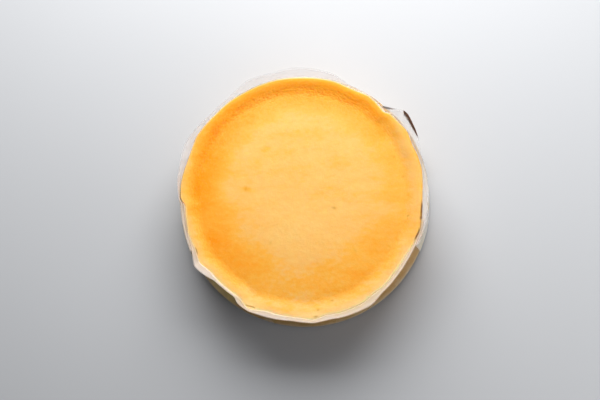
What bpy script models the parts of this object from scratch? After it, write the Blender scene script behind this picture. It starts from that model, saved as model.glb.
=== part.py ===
"""Whole New York cheesecake in the two parchment strips that lined its springform ring.

Four solids, in metres with +Z up and the origin at the middle of the foot: a pressed crumb crust,
the baked filling with its sunken middle and raised browned rim, and two thin paper strips that
wrap the side, overlap at the left and right, and stand above the filling with a creased free edge.
"""

import math

import bmesh
import bpy
import numpy as np

# Whole cake
TIN_RADIUS = 0.1143         # inside of a 9 inch springform ring
COLUMN_ANGLE = 3.0          # degrees between the columns of every piece, so that they nest
GAP = 0.0003                # air between pieces that touch
AXIS_MERGE = 0.00001        # closes a turned shape on its axis

# Crust
CRUST_HEIGHT = 0.0072
CRUST_CHAMFER = 0.0012
CRUST_CRUMBLE = 0.0007      # how far crumbs have dropped from its side
CRUMBLE_SEED = 9

# Filling
EDGE_RADIUS = 0.1080        # mean radius where the filling's top edge meets the paper
EDGE_HEIGHT = 0.0516
RIM_RISE = 0.0004           # crest of the raised rim above that edge
DISH_DEPTH = 0.0033         # middle below the crest
SIDE_LEVELS = (0.010, 0.022, 0.034, 0.044)
SHRINK_START = 0.008        # the side stands straight below this height
SHRINK_POWER = 1.7          # and draws in faster towards the top
DISH_START = 0.85           # part of the radius at which the sunken middle ends
DISH_END = 0.98             # part of the radius at the crest
MIDDLE_SWELL = 0.0004       # the middle stands this much above the foot of the rim
TOP_RINGS = (0.30, 0.55, 0.75, 0.85, 0.875, 0.897, 0.918, 0.938, 0.96, 0.98)
RIM_WAVES = ((2, 0.00035, 40), (3, 0.00030, 200), (7, 0.00025, 75))   # waves, height, phase

# Outline of the filling's top edge: degrees anticlockwise from +X, radius in mm
EDGE_OUTLINE = (
    (0, 107.4), (6, 108.4), (12, 109.6), (19, 109.4), (24, 108.4), (31, 110.3), (36, 108.5),
    (42, 107.9), (45, 104.9), (50, 106.7), (55.5, 108.2), (61, 106.8), (66, 106.6), (74, 107.8),
    (90, 107.4), (102, 108.0), (120, 107.7), (126, 108.0), (136, 107.4), (144, 108.2), (150, 108.8),
    (156, 107.2), (162, 106.8), (174, 108.4), (181, 107.7), (184.5, 103.5), (192, 104.2),
    (197, 105.1), (207, 104.9), (210, 106.2), (213.5, 107.6), (217, 105.6), (220, 104.4),
    (238, 104.8), (240, 105.6), (242, 108.2), (244.5, 109.9), (246.5, 109.8), (248.5, 108.3),
    (252, 106.8), (255, 106.2), (258, 107.0), (264, 107.2), (270, 108.1), (276, 110.4),
    (282, 107.8), (288, 109.2), (300, 109.6), (306, 108.0), (312, 108.7), (320, 107.3),
    (330, 107.0), (343, 109.6), (349, 108.2), (354, 107.7),
)

# Parchment strips
PAPER_THICKNESS = 0.0005
STRIP_GRIP = 0.0003         # a strip meets the filling with this much air
FLARE_MIDDLE = (0.5, 0.40)  # part of the free height, and of the flare, at its middle row
CREASE_ROUNDING = 1.0       # degrees over which a crease bends

# Free upper edge of each strip: degrees, radius of its inner face in mm, height in mm
BACK_RIM = (
    (-24, 112.7, 58.8), (-15, 112.9, 58.8), (-3, 113.0, 59.0), (0, 113.3, 59.6), (9, 112.8, 58.8),
    (18, 112.6, 58.0), (27, 116.0, 60.2), (36, 118.2, 62.4), (39, 117.4, 62.0), (42.5, 112.2, 58.6),
    (47.5, 107.4, 55.6), (53, 107.8, 55.0), (66, 108.3, 55.2), (75, 112.2, 60.2), (84, 113.8, 61.6),
    (93, 114.2, 62.0), (102, 112.6, 61.0), (114, 113.8, 61.2), (120, 112.0, 60.0), (126, 109.6, 58.0),
    (138, 109.4, 57.6), (147, 111.8, 60.0), (156, 113.6, 61.4), (165, 111.4, 60.2), (174, 110.4, 59.0),
    (183, 107.4, 57.4), (195, 107.6, 57.4), (201, 108.2, 57.7), (207, 109.2, 58.2),
)
FRONT_RIM = (
    (183, 105.4, 54.0), (185, 104.7, 54.2), (192, 105.0, 54.4), (197, 105.7, 54.8),
    (202, 106.1, 56.0), (207, 107.6, 58.6),
    (211, 110.4, 60.6), (214, 112.2, 61.4), (217, 111.6, 61.0), (221, 109.4, 58.6),
    (225, 106.8, 54.8), (237, 106.8, 54.4), (240, 110.6, 58.4), (246, 112.0, 59.4),
    (255, 111.4, 59.0), (267, 111.2, 59.0), (276, 113.2, 60.2), (285, 113.0, 59.8),
    (291, 114.6, 60.6), (303, 116.0, 61.8), (309, 113.0, 60.0), (318, 111.6, 59.2),
    (330, 110.8, 58.6), (348, 110.6, 58.2),
)
# Lower edge of each strip: degrees, height in mm
BACK_FOOT = ((-24, 2.6), (6, 0.8), (60, 1.4), (120, 0.7), (170, 1.6), (207, 1.0))
FRONT_FOOT = ((183, 1.8), (228, 0.9), (262, 1.6), (300, 2.4), (324, 4.4), (348, 3.6))


def clear_scene():
    for item in list(bpy.data.objects):
        bpy.data.objects.remove(item, do_unlink=True)


def material(name, colour, roughness):
    """Plain Principled material."""
    made = bpy.data.materials.new(name)
    made.use_nodes = True
    shader = made.node_tree.nodes["Principled BSDF"]
    shader.inputs["Base Color"].default_value = (*colour, 1.0)
    shader.inputs["Roughness"].default_value = roughness
    shader.inputs["Metallic"].default_value = 0.0
    return made


def new_object(name, mesh, collection, finish):
    made = bpy.data.objects.new(name, mesh)
    collection.objects.link(made)
    mesh.materials.clear()
    mesh.materials.append(finish)
    return made


def ring_value(points, angle, rounding):
    """Value at an angle of a closed outline given as (degrees, value), its corners rounded."""
    degrees = [point[0] for point in points]
    values = [point[1] for point in points]
    spread = [np.interp(angle + turn, degrees, values, period=360.0) for turn in (-rounding, 0, rounding)]
    return sum(spread) / len(spread)


def strip_value(points, angle, rounding):
    """Value at an angle of an open outline given as (degrees, value), its creases rounded."""
    degrees = [point[0] for point in points]
    values = [point[1] for point in points]
    spread = [np.interp(angle + turn, degrees, values) for turn in (-rounding, 0, rounding)]
    return sum(spread) / len(spread)


def edge_radius(angle):
    return ring_value(EDGE_OUTLINE, angle, CREASE_ROUNDING) / 1000.0


def shrink(height):
    """Part of the way from the ring's radius to the top edge that the side has drawn in."""
    rise = (height - SHRINK_START) / (EDGE_HEIGHT - SHRINK_START)
    return min(max(rise, 0.0), 1.0) ** SHRINK_POWER


def side_radius(angle, height):
    """Radius of the filling's side."""
    return TIN_RADIUS + (edge_radius(angle) - TIN_RADIUS) * shrink(height)


def dish_height(part):
    """Height of the filling's top at a part of its radius: near flat middle, raised rim, soft edge."""
    crest = EDGE_HEIGHT + RIM_RISE
    if part > DISH_END:
        fall = (part - DISH_END) / (1.0 - DISH_END)
        return crest - RIM_RISE * fall ** 2
    rise = max((part - DISH_START) / (DISH_END - DISH_START), 0.0)
    swell = MIDDLE_SWELL * max(1.0 - (part / DISH_START) ** 2, 0.0)
    return crest - DISH_DEPTH * (0.5 + 0.5 * math.cos(math.pi * rise)) + swell


def turned(name, profile, collection, finish):
    """Solid of revolution from (radius, height) points that run down its outer side."""
    mesh = bpy.data.meshes.new(name)
    points = [(radius, 0.0, height) for radius, height in profile]
    mesh.from_pydata(points, [(i, i + 1) for i in range(len(points) - 1)], [])
    outline = bpy.data.objects.new(name + "_profile", mesh)
    collection.objects.link(outline)
    screw = outline.modifiers.new("Turn", "SCREW")
    screw.steps = round(360.0 / COLUMN_ANGLE)
    screw.render_steps = screw.steps
    screw.use_merge_vertices = True
    screw.merge_threshold = AXIS_MERGE
    evaluated = outline.evaluated_get(bpy.context.evaluated_depsgraph_get())
    solid = bpy.data.meshes.new_from_object(evaluated)
    bpy.data.objects.remove(outline, do_unlink=True)
    bpy.data.meshes.remove(mesh)
    solid.name = name
    return new_object(name, solid, collection, finish)


def make_crust(collection, finish):
    """Crumb base pressed flat, with a chamfered foot and a side that has lost some crumbs."""
    top = CRUST_HEIGHT
    radius = TIN_RADIUS
    profile = [
        (0.0, top), (radius - CRUST_CHAMFER, top), (radius, top - CRUST_CHAMFER),
        (radius, CRUST_CHAMFER), (radius - CRUST_CHAMFER, 0.0), (0.0, 0.0),
    ]
    crust = turned("crust", profile, collection, finish)
    loose = np.random.default_rng(CRUMBLE_SEED)
    for vertex in crust.data.vertices:
        reach = math.hypot(vertex.co.x, vertex.co.y)
        if reach > radius - 2.0 * CRUST_CRUMBLE - CRUST_CHAMFER:
            lost = 1.0 - CRUST_CRUMBLE * loose.random() / reach
            vertex.co.x *= lost
            vertex.co.y *= lost
    return crust


def make_filling(collection, finish):
    """Baked filling: a turned body whose top edge, side and rim are then made uneven."""
    foot = CRUST_HEIGHT + GAP
    profile = [(0.0, dish_height(0.0))]
    profile += [(EDGE_RADIUS * part, dish_height(part)) for part in TOP_RINGS]
    profile.append((EDGE_RADIUS, EDGE_HEIGHT))
    for height in reversed(SIDE_LEVELS):
        profile.append((TIN_RADIUS + (EDGE_RADIUS - TIN_RADIUS) * shrink(height), height))
    profile += [(TIN_RADIUS, foot), (0.0, foot)]
    filling = turned("filling", profile, collection, finish)
    last_ring = EDGE_RADIUS * TOP_RINGS[-1]
    for vertex in filling.data.vertices:
        reach = math.hypot(vertex.co.x, vertex.co.y)
        if reach < AXIS_MERGE:
            continue
        angle = math.degrees(math.atan2(vertex.co.y, vertex.co.x))
        on_top = vertex.co.z > SIDE_LEVELS[-1] and reach < 0.5 * (last_ring + EDGE_RADIUS)
        if on_top:
            part = reach / EDGE_RADIUS
            radius = part * (EDGE_RADIUS + (edge_radius(angle) - EDGE_RADIUS) * part ** 2)
            for waves, height, phase in RIM_WAVES:
                lift = math.cos(math.radians(waves * angle + phase))
                vertex.co.z += height * lift * part ** 4
        else:
            radius = side_radius(angle, vertex.co.z)
        if vertex.co.z > foot + AXIS_MERGE or reach > EDGE_RADIUS:
            vertex.co.x *= radius / reach
            vertex.co.y *= radius / reach
    return filling


def make_strip(name, rim, foot, layer, collection, finish):
    """Thin wavy strip: its inner face follows the filling, then stands free up to its rim."""
    start, end = rim[0][0], rim[-1][0]
    columns = round((end - start) / COLUMN_ANGLE)
    levels = (*SIDE_LEVELS, EDGE_HEIGHT)
    rows = len(levels) + 2
    rim_radius = [(degrees, radius / 1000.0) for degrees, radius, _ in rim]
    rim_height = [(degrees, height / 1000.0) for degrees, _, height in rim]
    foot_height = [(degrees, height / 1000.0) for degrees, height in foot]

    def place(angle, row):
        grip = STRIP_GRIP + layer(angle) * (PAPER_THICKNESS + GAP)
        if row == 0:
            height = strip_value(foot_height, angle, CREASE_ROUNDING)
            return side_radius(angle, height) + grip, height
        if row <= len(levels):
            return side_radius(angle, levels[row - 1]) + grip, levels[row - 1]
        up, out = FLARE_MIDDLE if row == len(levels) + 1 else (1.0, 1.0)
        held = side_radius(angle, EDGE_HEIGHT) + grip
        free = strip_value(rim_radius, angle, CREASE_ROUNDING)
        top = strip_value(rim_height, angle, CREASE_ROUNDING)
        return held + (free - held) * out, EDGE_HEIGHT + (top - EDGE_HEIGHT) * up

    sheet = bmesh.new()
    bmesh.ops.create_grid(sheet, x_segments=columns, y_segments=rows, size=0.5)
    for vertex in sheet.verts:
        angle = start + (vertex.co.x + 0.5) * (end - start)
        radius, height = place(angle, round((vertex.co.y + 0.5) * rows))
        turn = math.radians(angle)
        vertex.co = (radius * math.cos(turn), radius * math.sin(turn), height)
    bmesh.ops.triangulate(sheet, faces=sheet.faces)
    outward = sum(face.normal.dot(face.calc_center_median()) for face in sheet.faces)
    if outward < 0.0:
        bmesh.ops.reverse_faces(sheet, faces=sheet.faces)
    mesh = bpy.data.meshes.new(name)
    sheet.to_mesh(mesh)
    sheet.free()
    strip = new_object(name, mesh, collection, finish)
    solid = strip.modifiers.new("Thickness", "SOLIDIFY")
    solid.thickness = PAPER_THICKNESS
    solid.offset = 1.0
    solid.use_quality_normals = True
    return strip


def back_layer(angle):
    """1 where the back strip lies over the front one, easing to 0 where it lies on the filling."""
    return float(np.interp(angle, (-12.0, -6.0, 174.0, 180.0), (1.0, 0.0, 0.0, 1.0)))


def front_layer(angle):
    """The front strip lies on the filling all along."""
    return 0.0 * angle


def main():
    clear_scene()
    cake = bpy.data.collections.new("New York cheesecake")
    bpy.context.scene.collection.children.link(cake)
    crumb = material("crumb crust", (0.42, 0.24, 0.10), 0.85)
    baked = material("baked filling", (0.95, 0.55, 0.16), 0.50)
    parchment = material("parchment", (0.86, 0.80, 0.74), 0.60)
    pieces = [
        make_crust(cake, crumb),
        make_filling(cake, baked),
        make_strip("paper_back", BACK_RIM, BACK_FOOT, back_layer, cake, parchment),
        make_strip("paper_front", FRONT_RIM, FRONT_FOOT, front_layer, cake, parchment),
    ]
    for piece in pieces:
        piece.data.shade_smooth()
        piece.data.set_sharp_from_angle(angle=math.radians(40.0))


main()
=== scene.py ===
import bpy
import numpy as np
from mathutils import Matrix, Vector


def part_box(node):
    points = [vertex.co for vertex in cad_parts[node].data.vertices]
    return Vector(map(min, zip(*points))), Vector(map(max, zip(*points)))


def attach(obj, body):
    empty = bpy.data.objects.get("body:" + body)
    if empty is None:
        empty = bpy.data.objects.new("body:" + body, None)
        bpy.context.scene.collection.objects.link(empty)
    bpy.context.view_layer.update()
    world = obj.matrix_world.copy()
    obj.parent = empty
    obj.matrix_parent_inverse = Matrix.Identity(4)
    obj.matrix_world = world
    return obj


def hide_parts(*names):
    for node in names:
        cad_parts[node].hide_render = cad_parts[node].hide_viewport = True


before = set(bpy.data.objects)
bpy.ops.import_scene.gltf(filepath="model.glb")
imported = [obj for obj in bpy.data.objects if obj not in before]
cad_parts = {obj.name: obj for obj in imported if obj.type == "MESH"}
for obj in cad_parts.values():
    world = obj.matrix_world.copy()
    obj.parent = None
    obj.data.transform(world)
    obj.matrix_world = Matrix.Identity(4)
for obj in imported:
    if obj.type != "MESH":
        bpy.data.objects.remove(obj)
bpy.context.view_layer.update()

fillingLow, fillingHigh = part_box("filling")
crustLow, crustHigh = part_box("crust")

# Whole cake: metres, and degrees anticlockwise from +X
cake = dict(
    footRadius=fillingHigh.x,
    crustTop=crustHigh.z,
    fillingFoot=fillingLow.z,
    edgeHeight=0.0516,       # where the filling's top edge meets the paper
    edgeRadius=0.1080,       # mean radius there
    shrinkStart=0.008,       # the side stands straight below this height
    shrinkPower=1.7,
    # outline of the top edge: degrees, radius in mm
    edgeOutline=(
        (0, 107.4), (6, 108.4), (12, 109.6), (19, 109.4), (24, 108.4), (31, 110.3), (36, 108.5),
        (42, 107.9), (45, 104.9), (50, 106.7), (55.5, 108.2), (61, 106.8), (66, 106.6), (74, 107.8),
        (90, 107.4), (102, 108.0), (120, 107.7), (126, 108.0), (136, 107.4), (144, 108.2), (150, 108.8),
        (156, 107.2), (162, 106.8), (174, 108.4), (181, 107.7), (184.5, 103.5), (192, 104.2),
        (197, 105.1), (207, 104.9), (210, 106.2), (213.5, 107.6), (217, 105.6), (220, 104.4),
        (238, 104.8), (240, 105.6), (242, 108.2), (244.5, 109.9), (246.5, 109.8), (248.5, 108.3),
        (252, 106.8), (255, 106.2), (258, 107.0), (264, 107.2), (270, 108.1), (276, 110.4),
        (282, 107.8), (288, 109.2), (300, 109.6), (306, 108.0), (312, 108.7), (320, 107.3),
        (330, 107.0), (343, 109.6), (349, 108.2), (354, 107.7),
    ),
)


hashFactors = (127.1, 311.7, 74.7)    # uneven, so that neighbouring cells get unlike values
hashStretch = 43758.5453


def ringLine(points, angle, rounding=0.7):
    # Closed outline of (degrees, value) points read at an angle, its corners rounded by an average
    degrees, values = np.array(points, float).T[:2]
    turns = np.linspace(-1.5 * rounding, 1.5 * rounding, 7)
    return sum(np.interp(angle + turn, degrees, values, period=360.0) for turn in turns) / len(turns)


def stripLine(points, angle, column=1, rounding=0.6):
    # Open outline of (degrees, value, ...) points read at an angle, its creases rounded the same way
    table = np.array(points, float).T
    turns = np.linspace(-1.5 * rounding, 1.5 * rounding, 7)
    return sum(np.interp(angle + turn, table[0], table[column]) for turn in turns) / len(turns)


def smooth(low, high, value):
    # 0 below low, 1 above high, with a soft S between them
    part = np.clip((value - low) / (high - low), 0.0, 1.0)
    return part * part * (3.0 - 2.0 * part)


def bump(centre, width, value):
    # Bell curve: 1 at the centre, about a third at one width away
    return np.exp(-((value - centre) / width) ** 2)


def cellValue(across, up, seed):
    # Repeatable value from 0 to 1 for each cell of a grid of whole numbers
    mixed = np.sin(across * hashFactors[0] + up * hashFactors[1] + seed * hashFactors[2]) * hashStretch
    return mixed - np.floor(mixed)


def cloud(across, up, seed, wrap=None):
    # Soft noise from -1 to 1: cell values blended with an S curve; wrap is the whole number of cells round
    left, low = np.floor(across), np.floor(up)
    u, v = across - left, up - low
    u, v = u * u * (3.0 - 2.0 * u), v * v * (3.0 - 2.0 * v)
    right = left + 1.0
    if wrap:
        left, right = left % wrap, right % wrap
    near = cellValue(left, low, seed) * (1.0 - u) + cellValue(right, low, seed) * u
    far = cellValue(left, low + 1.0, seed) * (1.0 - u) + cellValue(right, low + 1.0, seed) * u
    return 2.0 * (near * (1.0 - v) + far * v) - 1.0


def clouds(across, up, seed, layers=3, wrap=None):
    # Several layers of soft noise, each half as large and half as strong as the last
    total = 0.0
    for layer in range(layers):
        scale = 2.0 ** layer
        total = total + cloud(across * scale, up * scale, seed + layer, wrap and wrap * scale) / scale
    return total / (2.0 - 2.0 ** (1 - layers))


def edgeRadius(angle):
    # Radius of the filling's top edge
    return ringLine(cake["edgeOutline"], angle) / 1000.0


def sideRadius(angle, height):
    # Radius of the cake's side: straight at the foot, drawn in faster and faster towards the top edge
    rise = np.clip((height - cake["shrinkStart"]) / (cake["edgeHeight"] - cake["shrinkStart"]), 0.0, 1.0)
    return cake["footRadius"] + (edgeRadius(angle) - cake["footRadius"]) * rise ** cake["shrinkPower"]


def addValues(mesh, values):
    # One number for each point and name, for the materials to read
    for name, value in values.items():
        made = mesh.attributes.new(name, "FLOAT", "POINT")
        made.data.foreach_set("value", np.ascontiguousarray(value, np.float32).ravel())


def finishPiece(name, vertices, faces, material, nodes, values):
    mesh = bpy.data.meshes.new(name)
    mesh.from_pydata(vertices.tolist(), [], faces)
    addValues(mesh, values)
    mesh.materials.append(material)
    mesh.shade_smooth()
    mesh.update()
    piece = bpy.data.objects.new(name, mesh)
    bpy.context.scene.collection.objects.link(piece)
    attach(piece, "root")
    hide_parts(*nodes)
    print(name, "has", len(mesh.polygons), "faces")
    return piece


def ringFaces(rows, columns):
    # Quads between closed rings that run down the outside, facing out
    row, column = np.meshgrid(np.arange(rows - 1), np.arange(columns), indexing="ij")
    after = (column + 1) % columns
    here, below = row * columns, (row + 1) * columns
    return np.stack([here + column, below + column, below + after, here + after], -1).reshape(-1, 4)


def turnedSolid(name, rings, material, nodes, values):
    # Closed solid from rings of points (rows, columns, 3); the first and last ring close on one point each
    rows, columns = rings.shape[:2]
    poles = np.array([rings[0].mean(0), rings[-1].mean(0)])
    vertices = np.concatenate([rings.reshape(-1, 3), poles])
    column = np.arange(columns)
    after = (column + 1) % columns
    top, foot = rows * columns, rows * columns + 1
    last = (rows - 1) * columns
    caps = [(top, c, a) for c, a in zip(column.tolist(), after.tolist())]
    caps += [(last + c, foot, last + a) for c, a in zip(column.tolist(), after.tolist())]
    ends = {key: np.concatenate([value.ravel(), [value[0].mean(), value[-1].mean()]])
            for key, value in values.items()}
    return finishPiece(name, vertices, ringFaces(rows, columns).tolist() + caps, material, nodes, ends)


def openSheet(name, points, thickness, material, nodes, values):
    # Thin sheet from a grid of points (rows, columns, 3), rows from its foot up, thickened outwards
    rows, columns = points.shape[:2]
    row, column = np.meshgrid(np.arange(rows - 1), np.arange(columns - 1), indexing="ij")
    here, above = row * columns + column, (row + 1) * columns + column
    faces = np.stack([here, here + 1, above + 1, above], -1).reshape(-1, 4)
    piece = finishPiece(name, points.reshape(-1, 3), faces.tolist(), material, nodes, values)
    solid = piece.modifiers.new("thickness", "SOLIDIFY")
    solid.thickness = thickness
    solid.offset = 1.0
    piece.modifiers.new("normals", "WEIGHTED_NORMAL")    # keeps the thin rim from brightening the faces
    return piece


# Shared shader groups

def newGroup(name, **inputs):
    # Group whose inputs are numbers and vectors and whose output is a mask
    group = bpy.data.node_groups.new(name, "ShaderNodeTree")
    for socket, value in inputs.items():
        kind = "NodeSocketFloat" if isinstance(value, float) else "NodeSocketVector"
        made = group.interface.new_socket(name=socket, in_out="INPUT", socket_type=kind)
        made.default_value = value
    group.interface.new_socket(name="Mask", in_out="OUTPUT", socket_type="NodeSocketFloat")
    return group, group.nodes.new("NodeGroupInput").outputs, group.nodes.new("NodeGroupOutput")


def addNode(group, kind, given, operation=None):
    # Node in a group, each of its inputs given a socket or a value
    node = group.nodes.new("ShaderNode" + kind)
    if operation:
        node.operation = operation
    for key, value in given.items():
        if isinstance(value, bpy.types.NodeSocket):
            group.links.new(value, node.inputs[key])
        else:
            node.inputs[key].default_value = value
    return node.outputs


def addMask(group, noise, given, out):
    # Puts out 0 where the noise is below Low and 1 where it is above High
    fit = addNode(group, "MapRange", {"Value": noise, "From Min": given["Low"], "From Max": given["High"]})
    group.links.new(fit["Result"], out.inputs["Mask"])


def mottleGroup():
    # Soft blotches as a mask from 0 to 1, stretched by a vector
    group, given, out = newGroup("mottle", Scale=100.0, Stretch=(1.0, 1.0, 1.0), Detail=4.0,
                                 Low=0.35, High=0.65)
    place = addNode(group, "TexCoord", {})["Object"]
    stretched = addNode(group, "VectorMath", {0: place, 1: given["Stretch"]}, "MULTIPLY")[0]
    texture = {"Vector": stretched, "Scale": given["Scale"], "Detail": given["Detail"]}
    noise = addNode(group, "TexNoise", texture)["Fac"]
    addMask(group, noise, given, out)
    return group


def strokesGroup():
    # Strokes that run round the axis as a mask from 0 to 1: noise over the direction from the axis, times
    # how many fit in a metre round, and the distance from the axis, times how many fit in a metre across
    group, given, out = newGroup("strokes", Round=200.0, Across=800.0, Low=0.5, High=0.7)
    place = addNode(group, "TexCoord", {})["Object"]
    flat = addNode(group, "VectorMath", {0: place, 1: (1.0, 1.0, 0.0)}, "MULTIPLY")[0]
    distance = addNode(group, "VectorMath", {0: flat}, "LENGTH")["Value"]
    aim = addNode(group, "VectorMath", {0: flat}, "NORMALIZE")[0]
    often = addNode(group, "Math", {0: given["Round"], 1: cake["edgeRadius"]}, "MULTIPLY")[0]
    around = addNode(group, "VectorMath", {0: aim, "Scale": often}, "SCALE")[0]
    across = addNode(group, "Math", {0: distance, 1: given["Across"]}, "MULTIPLY")[0]
    outward = addNode(group, "CombineXYZ", {"Z": across})[0]
    both = addNode(group, "VectorMath", {0: around, 1: outward})[0]
    noise = addNode(group, "TexNoise", {"Vector": both, "Scale": 1.0, "Detail": 2.0})["Fac"]
    addMask(group, noise, given, out)
    return group


mottle = mottleGroup()
strokes = strokesGroup()


class Shader:
    # Shorthand for one material's nodes; each method adds what it is named for and gives its output

    def __init__(self, name, roughness, ior=1.45):
        self.material = bpy.data.materials.new(name)
        self.material.use_nodes = True
        self.nodes = self.material.node_tree.nodes
        self.links = self.material.node_tree.links
        self.surface = self.nodes["Principled BSDF"]
        self.surface.inputs["Roughness"].default_value = roughness
        self.surface.inputs["IOR"].default_value = ior

    def fill(self, socket, value):
        if isinstance(value, bpy.types.NodeSocket):
            self.links.new(value, socket)
        else:
            socket.default_value = value

    def cover(self, inputs):
        # colour, relief and the rest go into the surface's inputs
        for name, value in inputs.items():
            self.fill(self.surface.inputs[name], value)
        return self.material

    def value(self, name):
        node = self.nodes.new("ShaderNodeAttribute")
        node.attribute_name = name
        return node.outputs["Fac"]

    def mask(self, group, **given):
        node = self.nodes.new("ShaderNodeGroup")
        node.node_tree = group
        for socket, value in given.items():
            node.inputs[socket].default_value = value
        return node.outputs["Mask"]

    def mottle(self, scale, stretch=(1.0, 1.0, 1.0), detail=4.0, low=0.35, high=0.65):
        return self.mask(mottle, Scale=scale, Stretch=stretch, Detail=detail, Low=low, High=high)

    def strokes(self, around, across, low, high):
        return self.mask(strokes, Round=around, Across=across, Low=low, High=high)

    def math(self, operation, first, second=0.0, clamp=False):
        node = self.nodes.new("ShaderNodeMath")
        node.operation = operation
        node.use_clamp = clamp
        self.fill(node.inputs[0], first)
        self.fill(node.inputs[1], second)
        return node.outputs[0]

    def add(self, base, mask, amount):
        # base plus amount times how far the mask stands from one half
        shifted = self.math("SUBTRACT", mask, 0.5)
        return self.math("ADD", base, self.math("MULTIPLY", shifted, amount))

    def blotched(self, base, blotches):
        # base moved up and down by mottle of several sizes: scale, stretch, amount
        for scale, stretch, amount in blotches:
            base = self.add(base, self.mottle(scale, stretch), amount)
        return base

    def part(self, value):
        # value held between 0 and 1
        return self.math("ADD", value, 0.0, True)

    def ramp(self, position, stops):
        node = self.nodes.new("ShaderNodeValToRGB")
        band = node.color_ramp
        while len(band.elements) < len(stops):
            band.elements.new(0.5)
        for element, (at, colour) in zip(band.elements, stops):
            element.position = at
            element.color = (*colour, 1.0)
        self.links.new(position, node.inputs["Fac"])
        return node.outputs["Color"]

    def mix(self, factor, first, second):
        node = self.nodes.new("ShaderNodeMix")
        node.data_type = "RGBA"
        self.fill(node.inputs["Factor"], factor)
        for socket, colour in ((node.inputs["A"], first), (node.inputs["B"], second)):
            self.fill(socket, colour if isinstance(colour, bpy.types.NodeSocket) else (*colour, 1.0))
        return node.outputs["Result"]

    def relief(self, height, strength, distance, below=None):
        node = self.nodes.new("ShaderNodeBump")
        node.inputs["Strength"].default_value = strength
        node.inputs["Distance"].default_value = distance
        self.fill(node.inputs["Height"], height)
        if below is not None:
            self.links.new(below, node.inputs["Normal"])
        return node.outputs["Normal"]


# Baked filling: the look of its skin, from the yellow middle through the browned ring to the creamy rim
bakedSkin = dict(
    # milky pale for the last 2 mm: partly the edge's own paler colour, partly painted light where the paper
    # shades the rim
    milkAndLight=(0.98, 0.76, 0.42),
    cream=(0.90, 0.635, 0.290),
    # strong yellow-orange, partly the skin's own colour and partly painted light where the far rim is shaded
    butter=(0.98, 0.405, 0.030),
    toast=(0.92, 0.190, 0.004),
    olive=(0.44, 0.225, 0.010),
    # dark brown: partly baked-on residue, partly painted shade of the gap behind the paper
    residueAndGapShade=(0.16, 0.060, 0.020),
    # how brown, and the colour there
    browns=(
        (0.0, (0.85, 0.535, 0.165)), (0.20, (0.85, 0.470, 0.123)), (0.31, (0.865, 0.432, 0.066)),
        (0.45, (0.87, 0.385, 0.038)), (0.70, (0.88, 0.315, 0.009)), (1.0, (0.94, 0.250, 0.002)),
    ),
    clouding=0.10,           # how much the browning varies in large blotches, in grains and in specks
    graining=0.10,
    specking=0.03,
    creamClouding=0.10,
    # how many in a metre round and across, and the mask's limits
    broadStrokes=(240.0, 520.0, 0.52, 0.66),
    fineStrokes=(480.0, 900.0, 0.53, 0.66),
    broadToast=0.16,
    fineToast=0.50,
    pores=(0.15, 0.0002),    # reliefs: strength, distance
    bumps=(0.12, 0.0004),
    folds=(0.35, 0.0003),
    roughness=0.46,          # where the varied one below can't be read
    roughLeast=0.42,
    roughSpread=0.10,
    gloss=0.12,
    scatterShare=0.5,
    scatterColour=(1.0, 0.30, 0.08),
    scatterDepth=0.006,
)


def fillingMaterial():
    s = bakedSkin
    made = Shader("bakedFilling", s["roughness"])
    bake = made.value("bake")
    bake = made.add(bake, made.mottle(55.0, (0.6, 1.4, 1.0)), s["clouding"])
    grain = made.math("MULTIPLY", made.value("grain"), s["graining"])
    bake = made.add(bake, made.mottle(230.0, (0.75, 1.25, 1.0)), grain)
    bake = made.add(bake, made.mottle(1100.0, detail=2.0), s["specking"])
    colour = made.ramp(bake, s["browns"])
    # strong yellow-orange near the far rim: partly the skin's own colour, partly painted light that lifts the
    # shaded slope and the edge behind the paper
    colour = made.mix(made.value("butter"), colour, s["butter"])
    cream = made.add(made.value("cream"), made.mottle(420.0), s["creamClouding"])
    colour = made.mix(made.part(cream), colour, s["cream"])
    # milky pale last 2 mm of the edge: partly its own paler colour, partly painted light where the paper
    # shades it
    colour = made.mix(made.value("milkAndLight"), colour, s["milkAndLight"])
    # toasted strokes along the folds at the foot of the rim, with finer ones among them
    belt = made.value("belt")
    broad = made.math("MULTIPLY", made.strokes(*s["broadStrokes"]), belt)
    fine = made.math("MULTIPLY", made.strokes(*s["fineStrokes"]), belt)
    colour = made.mix(made.math("MULTIPLY", broad, s["broadToast"]), colour, s["toast"])
    colour = made.mix(made.math("MULTIPLY", fine, s["fineToast"]), colour, s["toast"])
    # olive on the dimples and marks, and painted shade in the crack
    colour = made.mix(made.value("spot"), colour, s["olive"])
    # dark brown at the edge where the paper stands off: partly baked-on residue, partly painted shade of the
    # gap
    colour = made.mix(made.value("residueAndGapShade"), colour, s["residueAndGapShade"])
    skin = made.relief(made.mottle(2600.0, detail=2.0), *s["pores"])
    skin = made.relief(made.mottle(420.0, detail=3.0), *s["bumps"], skin)
    folded = made.math("SUBTRACT", 1.0, made.math("MAXIMUM", broad, fine))
    skin = made.relief(folded, *s["folds"], skin)
    rough = made.math("ADD", made.math("MULTIPLY", made.mottle(90.0), s["roughSpread"]), s["roughLeast"])
    return made.cover({
        "Base Color": colour, "Normal": skin, "Roughness": rough, "Specular IOR Level": s["gloss"],
        "Subsurface Weight": s["scatterShare"], "Subsurface Radius": s["scatterColour"],
        "Subsurface Scale": s["scatterDepth"],
    })


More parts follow.
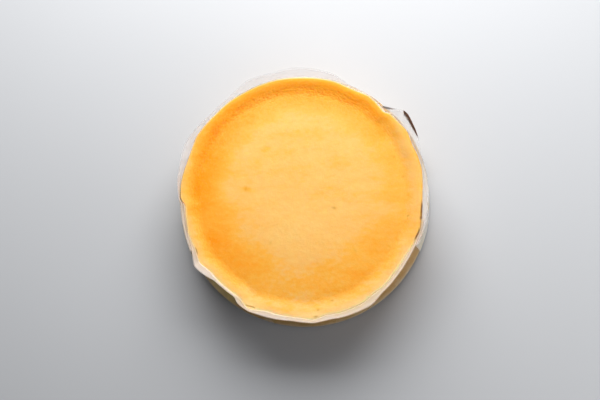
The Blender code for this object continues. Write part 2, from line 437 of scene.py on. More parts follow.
# Filling: shape
filling = dict(
    columns=960,
    flatRows=28,             # rings over the sunken middle
    rimRows=60,              # rings over the raised rim
    sideRows=10,
    firstRing=0.012,         # parts of the radius: the innermost ring, and where the close rings begin
    rimStart=0.80,
    cornerRow=0.0003,        # first ring of the side below the top edge
    footRing=0.05,           # the last ring, under the foot, as a part of the side's
    dishStart=0.85,          # parts of the radius between which the rim rises
    dishEnd=0.98,
    dishDepth=0.0033,
    rimRise=0.0004,          # crest above the edge
    middleSwell=0.0004,
    rimWaves=((2, 0.00035, 40), (3, 0.00030, 200), (7, 0.00025, 75)),
    calmStart=0.985,         # from this part of the radius to the edge the fine relief dies out
    # size along x and y, height, seed
    unevenness=((0.030, 0.022, 0.00022, 3), (0.006, 0.004, 0.00006, 8)),
    wrinkleDepth=0.00030,
    wrinkleRadius=0.0955,    # middle of the wrinkled belt at the foot of the rim
    wrinkleWidth=0.0058,
    wrinklesRound=180,
    wrinkleSpacing=0.0014,
    wrinkleMeander=(0.8, 3, 0.005),     # amount, how many wrinkles in one bend, size across
    wrinkleSharpness=0.72,
    wrinkleLeast=0.25,       # strength of the wrinkles where the skin is smoothest
    dimples=70,
    dimpleReach=0.100,
    dimpleSize=(0.0005, 0.0007),        # the least, and how much more it can be
    dimpleDepth=(0.00004, 0.00010),
    dimpleDarkness=0.10,
    markDepth=0.0003,
    seed=31,
)
# Short curved crack in the pale rim
crack = dict(
    radius=0.1076,
    bow=0.0005,
    bowStart=242.0,          # degrees
    bowTurn=0.9,
    opens=(242.8, 243.8),
    closes=(247.4, 248.4),
    width=0.00055,
    # painted shade in the crack's gap
    depth=0.0006,
    paintedShade=0.80,
)
# Dark brown at the edge where the paper stands off, partly browned scraps baked on and partly painted shade
# of the gap: degrees where each begins and ends, amount
scrapsAndGapShade = (
    (337, 339, 342, 345, 1.0), (347, 349, 355, 358, 1.0), (205, 207, 208, 210, 0.6),
)
# How the skin browns, with lengths in mm
browning = dict(
    middle=0.19,
    nearPaler=(0.08, 32.0, 22.0),       # the middle's near side is less brown: amount, radius, width
    wander=1.9,              # how far the ring's edges wander
    wanderRound=48,
    wanderSize=0.016,
    wanderFade=(0.7, 0.097, 0.103),     # how much of it is lost between two radii in metres
    blend=3.0,               # the ring is at its deepest for this far to either side
    onFolds=0.08,
    streaks=(0.06, 0.016, 0.007, 40),   # amount, size along x and y in metres, seed
    farSide=((28, 0), (46, 1), (140, 1), (160, 0)),
    farBand=(0.11, 101.0, 4.5),         # amount, radius, width of what the far side has more
    farCream=(0.11, 80.0, 15.0),
    # the far side's strong yellow band is partly painted light on the rim's slope, which faces away from the
    # lamp
    farButterAndLight=(0.45, 99.0, 5.5),
    creamEdge=(-3.0, 5.0),   # from the ring's end
    butterAndLightEdge=(0.8, 6.0),   # from the cake's edge
    milkAndLightEdge=(0.2, 2.2),
    milkAndLightLessFar=0.8,
    grain=(0.85, 0.75, 0.35, 0.10),     # everywhere, more at the near side, less at the right and left
    grainEdge=(45.0, 75.0),
    foldFringe=(0.35, 0.086, 0.005),    # faint folds inside the belt: amount, radius, width in metres
    patchOnFolds=(0.8, 0.4),            # a patch's strength between the folds, and what a fold adds
    scrapAndShadeEdge=(0.984, 0.992),           # parts of the radius
    scrapAndShadePatches=(0.75, 0.25, 60.0),    # strength of the dark edge, how much it varies, how often along a radius
    patchesRound=180,
)

# The browned ring by angle: degrees, how brown, where it starts, is deepest and ends in mm, and how creamy
# the skin is outside it
bakeRing = (
    (0, 0.29, 62, 90, 100, 0.05), (15, 0.36, 62, 90, 104, 0.00), (30, 0.35, 58, 88, 106, 0.00),
    (42, 0.48, 60, 95, 112, 0.00), (52, 0.56, 64, 97, 112, 0.00), (75, 0.57, 66, 97, 112, 0.00),
    (90, 0.55, 68, 97, 112, 0.00), (105, 0.47, 66, 97, 112, 0.00), (120, 0.56, 62, 97, 112, 0.00),
    (135, 0.65, 62, 94, 112, 0.00), (150, 0.64, 62, 92, 112, 0.00), (165, 0.60, 62, 91, 106, 0.05),
    (180, 0.70, 60, 90, 107, 0.22), (195, 0.54, 48, 87, 104, 0.45), (210, 0.60, 52, 87, 103, 0.35),
    (225, 0.52, 48, 85, 102, 0.90), (240, 0.43, 40, 84, 104, 1.00), (255, 0.34, 40, 84, 104, 1.00),
    (270, 0.32, 42, 85, 104, 1.00), (285, 0.37, 40, 84, 104, 0.95), (300, 0.43, 46, 86, 105, 0.95),
    (315, 0.43, 46, 86, 105, 0.95), (330, 0.37, 48, 88, 104, 0.85), (337, 0.34, 52, 88, 104, 0.50),
    (342, 0.30, 52, 88, 112, 0.00),
)
# Patches that are browner, or paler where the amount is below 0: degrees, radius, length round and width in
# mm, amount
bakePatches = (
    (142, 98.5, 5.0, 2.2, 0.52), (144, 94.5, 4.5, 2.2, 0.34), (137, 96.5, 6.0, 1.6, 0.18),
    (129, 97.5, 5.0, 1.6, 0.14), (156, 91.5, 5.0, 2.5, 0.14), (174, 94.5, 7.0, 3.2, 0.20),
    (101, 97.0, 5.0, 1.4, 0.18), (62, 98.0, 7.0, 2.0, 0.12), (49, 99.0, 5.0, 1.8, 0.14),
    (206, 88.0, 8.0, 4.0, 0.10), (312, 87.0, 9.0, 4.0, 0.08), (123, 81.0, 4.0, 3.0, 0.10),
    (127, 53.0, 3.5, 4.0, 0.12), (143, 50.5, 4.0, 5.0, 0.10), (166, 60.0, 3.0, 2.0, 0.10),
    (164, 47.5, 3.0, 2.0, 0.12), (255, 60.8, 3.5, 2.0, 0.18), (294, 64.0, 4.0, 2.0, 0.10),
    (203, 56.0, 3.0, 3.0, 0.08), (172, 49.8, 2.0, 4.4, 0.30), (21, 97.0, 7.0, 5.0, -0.12),
    (37, 97.5, 6.0, 2.6, -0.14), (38, 91.0, 8.0, 2.2, 0.10),
)
# How much the skin at the edge is a strong yellow, and how milky its last 2 mm are: degrees, amount. Both are
# partly the skin's own colour and partly painted light where the rim's slope and the paper shade it
butterAndLightRing = ((20, 0.0), (45, 0.9), (90, 1.0), (135, 0.8), (160, 0.2), (200, 0.0))
milkAndLightRing = ((0, 0.0), (30, 0.0), (50, 0.7), (75, 1.0), (120, 1.0), (150, 0.3), (175, 0.2), (187, 0.5),
            (205, 0.4), (214, 0.2), (228, 0.7), (250, 1.0), (320, 0.9), (335, 0.6), (340, 0.0))
# Where the skin is folded at the foot of the rim: degrees, amount
foldRing = ((20, 0.02), (36, 0.08), (44, 0.30), (54, 0.80), (75, 0.90), (145, 1.00), (165, 0.50),
            (200, 0.25), (250, 0.08))
# Small marks in the skin: degrees, radius in mm, length and width in mm, turn of the length, strength
skinMarks = (
    (339.0, 30.7, 1.5, 1.1, 10, 0.90), (338.4, 26.9, 0.8, 0.6, 0, 0.40), (32.4, 33.0, 2.0, 0.7, 5, 0.28),
    (172, 49.8, 2.6, 1.0, 90, 0.30), (348.7, 96.5, 1.1, 0.8, 40, 0.50), (286.4, 97.2, 1.6, 0.8, 5, 0.50),
    (278.5, 102.4, 1.1, 0.9, 0, 0.60), (277.1, 108.0, 2.0, 0.8, 5, 0.75), (291.5, 101.1, 0.9, 0.7, 0, 0.35),
    (256.5, 60.3, 1.2, 0.8, 0, 0.20), (129.7, 54.8, 1.8, 0.9, 0, 0.18), (84, 41.0, 1.4, 0.8, 0, 0.16),
    (125.2, 71.9, 1.6, 0.8, 0, 0.22), (76, 69.0, 1.6, 0.8, 0, 0.22), (10, 92.0, 1.3, 0.8, 20, 0.30),
    (22.2, 89.7, 1.2, 0.8, 10, 0.35), (236.6, 49.9, 1.4, 0.8, 0, 0.20), (314.1, 67.5, 1.3, 0.8, 0, 0.20),
    (182.9, 56.5, 1.5, 0.7, 0, 0.18),
)


def dishHeight(part):
    # Near flat middle with a slight swell, a raised rim, and a soft fall to the edge
    crest = cake["edgeHeight"] + filling["rimRise"]
    rise = np.clip((part - filling["dishStart"]) / (filling["dishEnd"] - filling["dishStart"]), 0.0, 1.0)
    swell = filling["middleSwell"] * np.clip(1.0 - (part / filling["dishStart"]) ** 2, 0.0, None)
    fall = np.clip((part - filling["dishEnd"]) / (1.0 - filling["dishEnd"]), 0.0, 1.0)
    return (crest - filling["dishDepth"] * (0.5 + 0.5 * np.cos(np.pi * rise)) + swell
            - filling["rimRise"] * fall ** 2)


def foldLines(angle, radius):
    # Folds that run round the foot of the rim: where the belt is, how strong it is by angle, and the ridges
    f = filling
    belt = bump(f["wrinkleRadius"], f["wrinkleWidth"], radius)
    strong = f["wrinkleLeast"] + (1.0 - f["wrinkleLeast"]) * ringLine(foldRing, angle, 6.0)
    along = angle / 360.0 * f["wrinklesRound"]
    amount, many, size = f["wrinkleMeander"]
    meander = cloud(along / many, radius / size, 5, f["wrinklesRound"] // many)
    across = radius / f["wrinkleSpacing"] + amount * meander
    ridges = 1.0 - np.abs(clouds(along, across, 21, 2, f["wrinklesRound"]))
    ridges = np.clip(ridges - f["wrinkleSharpness"], 0.0, None) / (1.0 - f["wrinkleSharpness"])
    return belt, strong, ridges


def skinRelief(angle, part, radius, x, y):
    # Height of the top over (angle, part of the radius), and how dark its dimples, marks and crack are; the
    # crack's dark is painted shade
    f = filling
    height = dishHeight(part)
    for waves, lift, phase in f["rimWaves"]:
        height = height + lift * np.cos(np.radians(waves * angle + phase)) * part ** 4
    away = 1.0 - smooth(f["calmStart"], 1.0, part)
    uneven = sum(lift * clouds(x / wide, y / deep, seed) for wide, deep, lift, seed in f["unevenness"])
    height = height + away * uneven
    belt, strong, ridges = foldLines(angle, radius)
    height = height - away * f["wrinkleDepth"] * belt * strong * ridges
    draw = np.random.default_rng(f["seed"])
    spot = np.zeros_like(height)
    for _ in range(f["dimples"]):
        reach, where = f["dimpleReach"] * np.sqrt(draw.random()), 2.0 * np.pi * draw.random()
        size, depth = (least + more * draw.random() for least, more in (f["dimpleSize"], f["dimpleDepth"]))
        pit = np.exp(-((x - reach * np.cos(where)) ** 2 + (y - reach * np.sin(where)) ** 2) / size ** 2)
        height = height - depth * pit
        spot = np.maximum(spot, f["dimpleDarkness"] * pit * draw.random())
    for degrees, reach, length, width, lean, strength in skinMarks:
        where, lean = np.radians(degrees), np.radians(lean)
        right, up = x - reach / 1000.0 * np.cos(where), y - reach / 1000.0 * np.sin(where)
        longways = (right * np.cos(lean) + up * np.sin(lean)) / (length / 1000.0)
        across = (up * np.cos(lean) - right * np.sin(lean)) / (width / 1000.0)
        mark = np.exp(-longways ** 2 - across ** 2)
        height = height - f["markDepth"] * strength * mark
        spot = np.maximum(spot, strength * mark)
    line = crack["radius"] + crack["bow"] * np.sin((angle - crack["bowStart"]) * crack["bowTurn"])
    gap = smooth(*crack["opens"], angle) * (1.0 - smooth(*crack["closes"], angle))
    gap = gap * bump(0.0, crack["width"], radius - line)
    return height - crack["depth"] * gap, np.maximum(spot, crack["paintedShade"] * gap)


def skinColours(angle, part, radius, x, y):
    # How brown, creamy, yellow and milky the top is: rings whose depth, place and width change with the angle
    b = browning
    turn = np.radians(angle)
    near, right, left = (np.clip(side, 0.0, 1.0) for side in (-np.sin(turn), np.cos(turn), -np.cos(turn)))
    belt, strong, ridges = foldLines(angle, radius)
    amount, start, deepest, end, pale = (ringLine([(row[0], row[i]) for row in bakeRing], angle, 3.0)
                                         for i in (1, 2, 3, 4, 5))
    across = radius / b["wanderSize"]
    ragged = b["wander"] * clouds(angle / 360.0 * b["wanderRound"], across, 50, 4, b["wanderRound"])
    faded, fadeFrom, fadeTo = b["wanderFade"]
    reach = radius * 1000.0 + ragged * (1.0 - faded * smooth(fadeFrom, fadeTo, radius))

    def band(given):
        return given[0] * bump(given[1], given[2], reach)

    base = b["middle"] - band(b["nearPaler"]) * near
    bake = base + (amount - base) * smooth(start, deepest - b["blend"], reach)
    bake = bake - (bake - base) * smooth(deepest + b["blend"], end, reach)
    streak, wide, deep, seed = b["streaks"]
    bake = bake + b["onFolds"] * belt * strong * ridges + streak * clouds(x / wide, y / deep, seed)
    far = ringLine(b["farSide"], angle, 4.0)
    bake = bake + far * band(b["farBand"])
    between, more = b["patchOnFolds"]
    onFolds = between + more * ridges
    for degrees, place, length, width, deeper in bakePatches:
        aside = np.radians((angle - degrees + 180.0) % 360.0 - 180.0) * place
        bake = bake + deeper * bump(0.0, length, aside) * bump(place, width, reach) * onFolds
    creamFrom, creamTo = (end + distance for distance in b["creamEdge"])
    cream = pale * smooth(creamFrom, creamTo, reach) + far * band(b["farCream"])
    inward = 1000.0 * (edgeRadius(angle) - radius)    # mm from the edge
    butter = ringLine(butterAndLightRing, angle, 6.0) * (1.0 - smooth(*b["butterAndLightEdge"], inward))
    butter = np.maximum(butter, far * band(b["farButterAndLight"]))
    milkAndLightFrom, milkAndLightTo = b["milkAndLightEdge"]
    clearOfMilkAndLight = smooth(milkAndLightFrom, milkAndLightTo - b["milkAndLightLessFar"] * far, inward)
    milkAndLight = ringLine(milkAndLightRing, angle, 4.0) * (1.0 - clearOfMilkAndLight)
    always, moreNear, lessRight, lessLeft = b["grain"]
    sides = moreNear * near - lessRight * right - lessLeft * left
    grain = always + smooth(*b["grainEdge"], reach) * sides
    fringe, fringeRadius, fringeWidth = b["foldFringe"]
    folded = strong * np.maximum(belt, fringe * bump(fringeRadius, fringeWidth, radius))
    # dark edge where the paper stands off: partly residue and partly painted shade
    scrapAndGapShade = np.zeros_like(radius)
    for begins, whole, thins, ends, share in scrapsAndGapShade:
        scrapAndGapShade = np.maximum(scrapAndGapShade, share * smooth(begins, whole, angle) * (1.0 - smooth(thins, ends, angle)))
    along = angle / 360.0 * b["patchesRound"]
    usual, varied, often = b["scrapAndShadePatches"]
    patchy = usual + varied * cloud(along, part * often, 61, b["patchesRound"])
    residueAndGapShade = scrapAndGapShade * smooth(*b["scrapAndShadeEdge"], part) * patchy
    return dict(bake=bake, cream=cream, residueAndGapShade=residueAndGapShade, butter=butter, milkAndLight=milkAndLight, grain=grain, belt=folded)


def makeFilling():
    # The top is a dish over (angle, part of the radius); the side is sideRadius over (angle, height)
    f = filling
    part = np.concatenate([np.linspace(f["firstRing"], f["rimStart"], f["flatRows"], endpoint=False),
                           np.linspace(f["rimStart"], 1.0, f["rimRows"])])
    angle, part = np.meshgrid(np.linspace(0.0, 360.0, f["columns"], endpoint=False), part)
    turn = np.radians(angle)
    radius = part * (cake["edgeRadius"] + (edgeRadius(angle) - cake["edgeRadius"]) * part ** 2)
    x, y = radius * np.cos(turn), radius * np.sin(turn)
    height, spot = skinRelief(angle, part, radius, x, y)
    top = np.stack([x, y, height], -1)
    levels = np.linspace(cake["edgeHeight"], cake["fillingFoot"], f["sideRows"] + 1)
    levels[0] -= f["cornerRow"]
    sideAngle, level = np.meshgrid(angle[0], levels)
    reach, turn = sideRadius(sideAngle, level), np.radians(sideAngle)
    side = np.stack([reach * np.cos(turn), reach * np.sin(turn), level], -1)
    foot = side[-1:] * np.array([f["footRing"], f["footRing"], 1.0])
    values = dict(spot=spot, **skinColours(angle, part, radius, x, y))
    for key, value in values.items():    # the side goes on as the edge is
        values[key] = np.concatenate([value, np.repeat(value[-1:], len(side) + 1, 0)])
    rings = np.concatenate([top, side, foot])
    return turnedSolid("cheeseFilling", rings, fillingMaterial(), ["filling"], values)


# Crumb crust
crust = dict(
    columns=720,
    sideRows=9,
    footRows=14,
    chamfer=0.0012,
    topRings=(0.02, 0.5, 0.9, 0.97),    # parts of the radius
    footRings=(0.975, 0.02),
    crumble=0.0009,          # how much of the side is lost at most
    crumbsRound=480,
    crumbHeight=0.0015,
    seed=12,
    roughness=0.82,
    # how fine the grain is there, and its colour
    grains=((0.0, (0.10, 0.045, 0.018)), (0.35, (0.20, 0.095, 0.035)), (0.8, (0.50, 0.30, 0.14))),
    lumps=(0.6, 0.0008),     # reliefs: strength, distance
    grit=(0.5, 0.0004),
)


def crustMaterial():
    c = crust
    made = Shader("crumbCrust", c["roughness"])
    grain = made.mottle(900.0, detail=5.0, low=0.30, high=0.70)
    lumps = made.relief(made.mottle(500.0, detail=4.0), *c["lumps"])
    return made.cover({"Base Color": made.ramp(grain, c["grains"]),
                       "Normal": made.relief(grain, *c["grit"], lumps)})


def makeCrust():
    # Turned slab whose side and chamfers are broken by crumb-sized noise, always inwards
    c = crust
    radius, top, chamfer = cake["footRadius"], cake["crustTop"], c["chamfer"]
    profile = [(radius * part, top) for part in c["topRings"]] + [(radius - chamfer, top)]
    profile += [(radius, height) for height in np.linspace(top - chamfer, chamfer, c["sideRows"])]
    profile += [(radius - chamfer, 0.0)]
    profile += [(radius * part, 0.0) for part in np.linspace(*c["footRings"], c["footRows"])]
    profile = np.array(profile)
    angle, row = np.meshgrid(np.linspace(0.0, 360.0, c["columns"], endpoint=False), np.arange(len(profile)))
    reach, height = profile[row, 0], profile[row, 1]
    outer = smooth(radius - 2.5 * chamfer, radius - chamfer, reach)
    around = angle / 360.0 * c["crumbsRound"]
    lost = 0.5 + 0.5 * clouds(around, height / c["crumbHeight"], c["seed"], 2, c["crumbsRound"])
    reach = reach - c["crumble"] * lost * outer
    turn = np.radians(angle)
    rings = np.stack([reach * np.cos(turn), reach * np.sin(turn), height], -1)
    return turnedSolid("crumbCrust", rings, crustMaterial(), ["crust"], {})


# Parchment: clear and faintly tinted where it stands free, stained by fat and browning on the cake's side
parchment = dict(
    thickness=0.0002,
    grip=0.00008,            # air between a strip and the filling's side
    stuck=0.00006,           # how far it bites into the filling at the top edge
    overlap=0.0005,          # how much further out a strip lies where it covers another
    stuckWidth=0.0012,       # how near the top edge it bites in, and how near it has no crinkles
    snugWidth=0.004,
    columnAngle=0.5,
    sideRows=26,
    freeRows=16,
    flare=0.4,               # how much of the way out to the rim is curved
    crinkle=0.00022,
    looseCrinkle=1.6,        # how many times that on the free part
    crinkleSizes=(0.011, 0.020, 0.015, 0.026),    # along, of their sway along and up, up
    crinkleSway=0.4,
    creases=22,              # along each strip
    creaseDepth=0.0004,
    creaseWidth=0.45,        # degrees
    creaseLean=9.0,
    creaseLow=0.030,         # the highest that one can begin
    creaseLength=(0.016, 0.030),        # the least, and how much longer it can be
    creaseFade=0.006,
    creaseStain=0.35,
    greaseReach=0.0030,      # from here below the cake's edge the stain fades
    greaseFade=0.0016,
    greaseMost=0.92,
    levelRise=(0.006, 0.034),           # heights between which the stain darkens; the lighter tan below is partly the crust through the paper and partly painted bounce light from the floor
    # how far both waver: amount, size along and up
    greaseWaver=(0.5, 0.007, 0.010),
    levelWaver=(0.004, 0.012, 0.012),
    rimTintLoss=0.45,
    clearness=0.97,          # of the rim
    # blotches: scale, stretch, amount
    greaseBlotches=((70.0, (1.0, 1.0, 0.6), 0.36), (420.0, (1.0, 1.0, 1.0), 0.10)),
    levelBlotches=((120.0, (1.0, 1.0, 0.5), 0.45), (26.0, (1.0, 1.0, 1.0), 0.35)),
    warmBlotches=((90.0, (1.0, 1.0, 1.0), 0.25),),
    faintStart=0.22,         # how greasy it is where the faint and where the strong stain begins
    strongStart=0.40,
    stainRise=2.6,
    fibres=(0.12, 0.0002),   # reliefs: strength, distance
    buckles=(0.2, 0.0006),
    roughness=0.55,
    gloss=0.25,
    scatterDepth=0.0012,
    scorchGrows=0.55,        # parts of a burnt stretch over which it grows deep and ends
    scorchEnds=0.15,
    white=(0.94, 0.91, 0.89),
    butter=(0.84, 0.69, 0.58),
    honey=(0.73, 0.53, 0.31),
    cream=(0.84, 0.68, 0.48),
    stain=(0.43, 0.225, 0.058),
    tan=(0.53, 0.37, 0.22),
    caramel=(0.80, 0.46, 0.13),
    scorch=(0.055, 0.022, 0.014),
)
# Each strip by degrees
# rim: radius of the inner face and height of its free edge in mm; foot: height of its lower edge in mm
# over: 1 where it lies over the other strip; greased: how much the fat stain shows on the side
# tint: warmth of the free part; sheer: how clear that part is; toasted: how much the side is painted caramel
# brown, partly its own golden colour and partly painted light that lifts a shaded stretch
# clearing: heights in mm above the cake's edge between which it turns clear
# fading: parts of the way to the rim between which it turns fully clear
# scorched: first and last degree, depth in metres, strength
backStrip = dict(
    rim=(
        (-24, 112.7, 58.8), (-15, 112.9, 58.8), (-3, 113.0, 59.0), (0, 113.3, 59.6), (9, 112.8, 58.8),
        (18, 112.6, 58.0), (27, 116.0, 60.2), (36, 118.2, 62.4), (39, 117.4, 62.0), (42.5, 112.2, 58.6),
        (47.5, 107.4, 55.6), (53, 107.8, 55.0), (66, 108.3, 55.2), (75, 112.2, 60.2), (84, 113.8, 61.6),
        (93, 114.2, 62.0), (102, 112.6, 61.0), (114, 113.8, 61.2), (120, 112.0, 60.0), (126, 109.6, 58.0),
        (138, 109.4, 57.6), (147, 111.8, 60.0), (156, 113.6, 61.4), (165, 111.4, 60.2), (174, 110.4, 59.0),
        (183, 107.4, 57.4), (195, 107.6, 57.4), (201, 108.2, 57.7), (207, 109.2, 58.2),
    ),
    foot=((-24, 2.6), (6, 0.8), (60, 1.4), (120, 0.7), (170, 1.6), (207, 1.0)),
    over=((-12, 1), (-6, 0), (174, 0), (180, 1)),
    greased=((-24, 0.4), (8, 0.4), (18, 1), (176, 1), (184, 0.5), (207, 0.5)),
    tint=((-24, 1.5), (-14, 1.1), (-7, 0.5), (1, 0.5), (20, 0.3), (50, 0.1), (145, 0.1), (165, 0.6),
          (183, 1.8), (207, 1.6)),
    toastedAndLit=((-24, 0), (207, 0)),
    sheer=((-24, 0.5), (0, 0.70), (20, 0.86), (60, 0.88), (130, 0.85), (160, 0.72), (180, 0.60),
           (207, 0.5)),
    clearing=(-1.2, 0.8),
    fading=(0.75, 1.0),
    scorched=((22.6, 39.2, 0.0030, 1.0), (40.6, 47.4, 0.0024, 0.8), (48.5, 53.5, 0.0010, 0.5)),
)
frontStrip = dict(
    rim=(
        (183, 105.4, 54.0), (185, 104.7, 54.2), (192, 105.0, 54.4), (197, 105.7, 54.8),
        (202, 106.1, 56.0), (207, 107.6, 58.6),
        (211, 110.4, 60.6), (214, 112.2, 61.4), (217, 111.6, 61.0), (221, 109.4, 58.6),
        (225, 106.8, 54.8), (237, 106.8, 54.4), (240, 110.6, 58.4), (246, 112.0, 59.4),
        (255, 111.4, 59.0), (267, 111.2, 59.0), (276, 113.2, 60.2), (285, 113.0, 59.8),
        (291, 114.6, 60.6), (303, 116.0, 61.8), (309, 113.0, 60.0), (318, 111.6, 59.2),
        (330, 110.8, 58.6), (348, 110.6, 58.2),
    ),
    foot=((183, 1.8), (228, 0.9), (262, 1.6), (300, 2.4), (324, 4.4), (348, 3.6)),
    over=((183, 0), (348, 0)),
    greased=((183, 1), (348, 1)),
    tint=((183, 1.8), (190, 2.4), (202, 2.3), (209, 1.4), (219, 1.2), (226, 1.8), (240, 1.9), (255, 1.5),
          (270, 1.7), (300, 1.9), (348, 1.9)),
    # caramel brown from 223 to 235 degrees: partly the side's own golden colour, partly painted light on this
    # shaded stretch
    toastedAndLit=((215, 0), (223, 0.8), (235, 0.8), (241, 0)),
    sheer=((183, 0.5), (220, 0.5), (230, 0.55), (348, 0.55)),
    clearing=(0.3, 2.5),
    fading=(0.86, 0.98),
    scorched=(),
)


def parchmentMaterial():
    p = parchment
    made = Shader("bakingParchment", p["roughness"])
    grease = made.blotched(made.value("grease"), p["greaseBlotches"])
    level = made.blotched(made.value("level"), p["levelBlotches"])
    warm = made.blotched(made.value("warm"), p["warmBlotches"])
    # tan towards the foot, stain higher up: partly the crust and browned side seen through the fat-soaked
    # paper, partly painted bounce light at the foot
    stained = made.mix(made.part(level), p["tan"], p["stain"])
    # caramel brown: partly the side's own golden colour, partly painted light that lifts a shaded stretch
    stained = made.mix(made.math("MULTIPLY", made.value("toastedAndLit"), level), stained, p["caramel"])
    clean = made.mix(made.part(warm), p["white"], p["butter"])
    clean = made.mix(made.math("SUBTRACT", warm, 1.0, True), clean, p["honey"])
    faint, strong = (made.math("MULTIPLY", made.math("SUBTRACT", grease, start), p["stainRise"], True)
                     for start in (p["faintStart"], p["strongStart"]))
    colour = made.mix(strong, made.mix(faint, clean, p["cream"]), stained)
    colour = made.mix(made.value("scorch"), colour, p["scorch"])
    # greasy free paper lets some light straight through; on the cake and where scorched it doesn't
    unburnt = made.math("SUBTRACT", 1.0, made.value("scorch"), True)
    clear = made.math("MULTIPLY", made.value("free"), unburnt)
    solid = made.math("SUBTRACT", 1.0, made.math("MULTIPLY", clear, p["clearness"]))
    fibres = made.relief(made.mottle(1500.0, (1.0, 1.0, 0.4), 3.0), *p["fibres"])
    buckled = made.relief(made.mottle(160.0, detail=3.0), *p["buckles"], fibres)
    return made.cover({
        "Base Color": colour, "Alpha": solid, "Normal": buckled, "Specular IOR Level": p["gloss"],
        "Subsurface Weight": 1.0, "Subsurface Radius": (1.0, 1.0, 1.0),
        "Subsurface Scale": p["scatterDepth"],
    })


def creaseRidges(strip, angle, height, seed):
    # Narrow outward ridges that run up the side, lean a little and fade at their ends, from 0 to 1
    p = parchment
    start, end = strip["rim"][0][0], strip["rim"][-1][0]
    draw = np.random.default_rng(seed)
    crease = np.zeros_like(height)
    for _ in range(p["creases"]):
        middle, lean = start + (end - start) * draw.random(), p["creaseLean"] * (draw.random() - 0.5)
        least, more = p["creaseLength"]
        low, length = p["creaseLow"] * draw.random(), least + more * draw.random()
        high, fade = low + length, p["creaseFade"]
        aside = angle - middle - lean * (height / cake["edgeHeight"] - 0.5)
        ends = smooth(low, low + fade, height) * (1.0 - smooth(high - fade, high, height))
        crease = np.maximum(crease, (0.4 + 0.6 * draw.random()) * bump(0.0, p["creaseWidth"], aside) * ends)
    return crease


def scorchMarks(strip, angle, height, top):
    # Burnt stretches of the rim, each deepest near its far end
    scorch = np.zeros_like(height)
    for first, last, depth, strength in strip["scorched"]:
        length = last - first
        begun = smooth(first, first + parchment["scorchGrows"] * length, angle)
        ended = smooth(last - parchment["scorchEnds"] * length, last, angle)
        inside = begun * (1.0 - ended)
        deep = depth * np.maximum(inside, 0.01)
        burnt = strength * np.minimum(1.0, 3.0 * inside)
        scorch = np.maximum(scorch, burnt * smooth(top - deep, top - 0.6 * deep, height))
    return scorch


def makeStrip(name, strip, material, node, seed):
    # Inner face over (angle, height): held to the side by a small grip up to the edge, then curved to the rim
    p = parchment
    start, end = strip["rim"][0][0], strip["rim"][-1][0]
    across = np.linspace(start, end, round((end - start) / p["columnAngle"]) + 1)
    up = np.concatenate([np.linspace(0.0, 1.0, p["sideRows"], endpoint=False),
                         np.linspace(0.0, 1.0, p["freeRows"])])
    angle, row = np.meshgrid(across, np.arange(len(up)))
    up, onSide = up[row], row < p["sideRows"]
    low = stripLine(strip["foot"], angle) / 1000.0
    top = stripLine(strip["rim"], angle, 2) / 1000.0
    reach = stripLine(strip["rim"], angle, 1) / 1000.0
    over, greased, tint, sheer, toastedAndLit = (stripLine(strip[key], angle)
                                           for key in ("over", "greased", "tint", "sheer", "toastedAndLit"))
    edge = cake["edgeHeight"]
    height = np.where(onSide, low + (edge - low) * up, edge + (top - edge) * up)
    hold = bump(edge, p["stuckWidth"], height) * (1.0 - over)
    grip = p["grip"] - (p["grip"] + p["stuck"]) * hold + over * p["overlap"]
    leave = sideRadius(angle, edge) + over * p["overlap"] - p["stuck"] * (1.0 - over)
    outwards = leave + (reach - leave) * ((1.0 - p["flare"]) * up + p["flare"] * up ** 2)
    radius = np.where(onSide, sideRadius(angle, height) + grip, outwards)
    # crinkles: never inwards on the side, either way above it, and none where the paper sticks to the edge
    along = angle * np.pi / 180.0 * cake["footRadius"]
    size, swayLong, swayHigh, tall = p["crinkleSizes"]
    sway = cloud(along / swayLong, height / swayHigh, seed + 9)
    crinkle = clouds(along / size + p["crinkleSway"] * sway, height / tall, seed, 3)
    loose = np.where(onSide, 0.0, up)
    snug = 1.0 - bump(edge, p["snugWidth"], height)
    radius = radius + p["crinkle"] * ((0.5 + 0.5 * crinkle) * (1.0 - loose) * snug
                                      + p["looseCrinkle"] * crinkle * loose)
    crease = creaseRidges(strip, angle, height, seed)
    radius = radius + p["creaseDepth"] * crease * snug
    turn = np.radians(angle)
    points = np.stack([radius * np.cos(turn), radius * np.sin(turn), height], -1)
    # the stain ends just below the cake's edge, and is weaker where a strip's end lies over the other strip
    above = (height - edge + p["greaseReach"]) / p["greaseFade"]
    waver, wide, tall = p["greaseWaver"]
    above = above + waver * clouds(along / wide, height / tall, seed + 30, 2)
    grease = p["greaseMost"] * (1.0 - smooth(-0.2, 1.0, above)) * greased
    waver, wide, tall = p["levelWaver"]
    level = smooth(*p["levelRise"], height + waver * clouds(along / wide, height / tall, seed + 40, 2))
    # fat tints the free part too, most where it leaves the cake; its rim is the clearest
    warm = tint * (1.0 - p["rimTintLoss"] * smooth(0.1, 1.0, loose))
    clearLow, clearHigh = (edge + rise / 1000.0 for rise in strip["clearing"])
    free = smooth(clearLow, clearHigh, height) * (sheer + (1.0 - sheer) * smooth(*strip["fading"], loose))
    values = dict(grease=grease, level=level + p["creaseStain"] * crease, free=free, warm=warm,
                  toastedAndLit=toastedAndLit, scorch=scorchMarks(strip, angle, height, top))
    return openSheet(name, points, p["thickness"], material, [node], values)


print("Filling")
makeFilling()
print("Crust")
makeCrust()
print("Parchment")
paper = parchmentMaterial()
makeStrip("parchmentBack", backStrip, paper, "paper_back", 100)
makeStrip("parchmentFront", frontStrip, paper, "paper_front", 200)

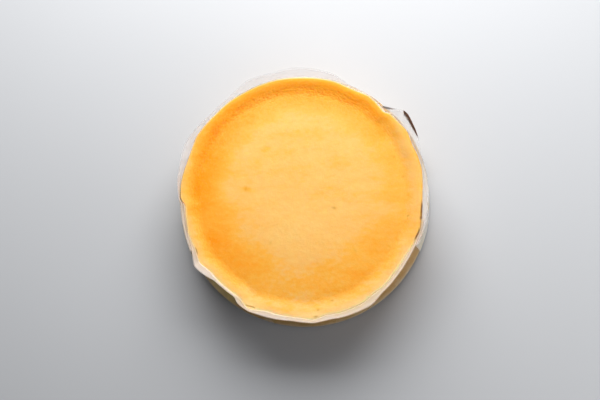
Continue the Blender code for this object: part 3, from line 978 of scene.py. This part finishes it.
# Studio: plain pale floor, one large soft light, even light from all round
studio = dict(
    floorSize=6.0,
    floorColour=(0.518, 0.526, 0.540),
    floorRoughness=0.65,
    floorGloss=0.2,
    lightAngle=86.0,         # degrees from +X, seen from above
    lightRise=42.0,          # degrees above the floor
    lightDistance=0.78,
    lightSize=(0.88, 0.62),
    lightPower=12.45,
    cardAngle=-25.0,         # a soft reflector to the right
    cardRise=16.0,
    cardDistance=0.80,
    cardSize=(0.5, 0.35),
    cardPower=1.8,
    cardTarget=0.03,         # height that it is turned to
    surround=(0.134, 0.139, 0.149),
    cameraDistance=1.0,
    cameraTilt=9.35,         # degrees off straight down
    cameraToward=-56.5,      # the side it leans to, degrees from +X
    cameraTarget=(-0.00045, -0.0040, 0.052),
    focalLength=67.7,
)


def lookFrom(place, target, upward):
    # Placement that looks from place at target, with upward as near as can be to the top of the view
    back = (place - target).normalized()
    right = upward.cross(back).normalized()
    top = back.cross(right)
    matrix = Matrix((right, top, back)).transposed().to_4x4()
    matrix.translation = place
    return matrix


def direction(around, rise):
    around, rise = np.radians(around), np.radians(rise)
    return Vector((np.cos(rise) * np.cos(around), np.cos(rise) * np.sin(around), np.sin(rise)))


def makeFloor():
    half = studio["floorSize"] / 2.0
    mesh = bpy.data.meshes.new("floor")
    mesh.from_pydata([(-half, -half, 0.0), (half, -half, 0.0), (half, half, 0.0), (-half, half, 0.0)],
                     [], [(0, 1, 2, 3)])
    floor = bpy.data.objects.new("floor", mesh)
    bpy.context.scene.collection.objects.link(floor)
    made = Shader("plainFloor", studio["floorRoughness"])
    mesh.materials.append(made.cover({"Base Color": (*studio["floorColour"], 1.0),
                                      "Specular IOR Level": studio["floorGloss"]}))


def areaLight(name, kind, target):
    # Rectangular lamp named by its keys in the studio's dictionary, turned towards a point on the axis
    lamp = bpy.data.lights.new(name, "AREA")
    lamp.shape = "RECTANGLE"
    lamp.size, lamp.size_y = studio[kind + "Size"]
    lamp.energy = studio[kind + "Power"]
    light = bpy.data.objects.new(name, lamp)
    bpy.context.scene.collection.objects.link(light)
    place = direction(studio[kind + "Angle"], studio[kind + "Rise"]) * studio[kind + "Distance"]
    light.matrix_world = lookFrom(place, Vector((0.0, 0.0, target)), Vector((0.0, 0.0, 1.0)))


def makeSurround():
    world = bpy.data.worlds.new("studio")
    world.use_nodes = True
    world.node_tree.nodes["Background"].inputs["Color"].default_value = (*studio["surround"], 1.0)
    bpy.context.scene.world = world


def makeCamera():
    camera = bpy.data.objects.new("camera", bpy.data.cameras.new("camera"))
    bpy.context.scene.collection.objects.link(camera)
    camera.data.lens = studio["focalLength"]
    camera.data.clip_end = 50.0
    target = Vector(studio["cameraTarget"])
    aim = direction(studio["cameraToward"], 90.0 - studio["cameraTilt"])
    place = target + aim * studio["cameraDistance"]
    camera.matrix_world = lookFrom(place, target, Vector((0.0, 1.0, 0.0)))
    bpy.context.scene.camera = camera


print("Studio")
makeFloor()
areaLight("window", "light", 0.0)
areaLight("card", "card", studio["cardTarget"])
makeSurround()
makeCamera()
bpy.context.scene.view_settings.view_transform = "Standard"

bpy.context.view_layer.update()
